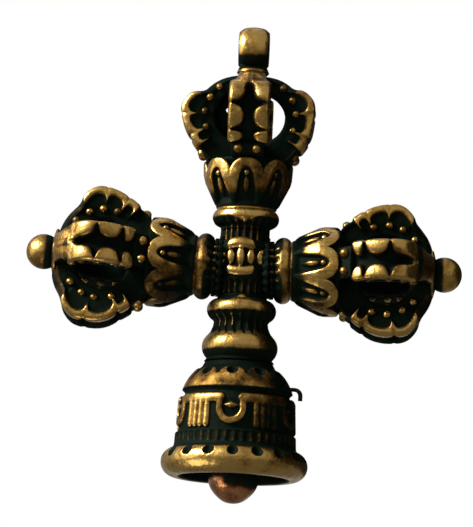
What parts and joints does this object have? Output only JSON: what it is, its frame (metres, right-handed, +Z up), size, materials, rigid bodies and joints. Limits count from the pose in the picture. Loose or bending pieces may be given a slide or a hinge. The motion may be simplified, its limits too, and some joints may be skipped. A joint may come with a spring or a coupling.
{
  "type": "crossed vajra pendant",
  "caption": "Cross-shaped cast brass pendant: pronged vajra heads on the upper and side arms, a small bell with a swinging clapper below, and a band bail for a cord.",
  "frame": {"origin": "centre of the cord bore in the bail", "axes": "+Z up along the upright arm, +X to the right along the cord bore and the cross arm, +Y away from the viewer"},
  "size_m": [0.0432, 0.0144, 0.0476],
  "materials": {
    "aged_brass": "cast, black patina in the hollows, rubbed bright on the raised ornament",
    "dark_brass": "cast, mostly under black patina",
    "red_brass": "turned, tarnished to a copper tone",
    "iron_wire": "drawn wire, blackened"
  },
  "bodies": {
    "pendant": {"hub": "dark_brass", "top_lotus_cup": "aged_brass", "top_core": "dark_brass", "left_lotus_cup": "aged_brass", "left_core": "dark_brass", "right_lotus_cup": "aged_brass", "right_core": "dark_brass", "top_prong_front": "aged_brass", "top_prong_right": "aged_brass", "top_prong_back": "aged_brass", "top_prong_left": "aged_brass", "left_prong_front": "aged_brass", "left_prong_upper": "aged_brass", "left_prong_back": "aged_brass", "left_prong_lower": "aged_brass", "right_prong_front": "aged_brass", "right_prong_lower": "aged_brass", "right_prong_back": "aged_brass", "right_prong_upper": "aged_brass", "left_tip_ball": "aged_brass", "right_tip_ball": "aged_brass", "bail": "aged_brass", "bell_handle": "aged_brass", "bell_crown": "aged_brass", "bell_skirt": "aged_brass", "clapper_wire": "iron_wire"},
    "hanging_ring": {"clapper_ring": "iron_wire"},
    "clapper": {"clapper_stem": "iron_wire", "clapper_ball": "red_brass"}
  },
  "joints": [
    {"name": "ring_swing", "type": "hinge", "parent": "pendant", "child": "hanging_ring", "pos_m": [0, 0, -0.0339], "axis": [1, 0, 0], "range_deg": [-15.5, 15.5]},
    {"name": "clapper_rock", "type": "hinge", "parent": "hanging_ring", "child": "clapper", "pos_m": [0, 0, -0.03498], "axis": [0, 1, 0], "range_deg": [-7, 7]}
  ]
}
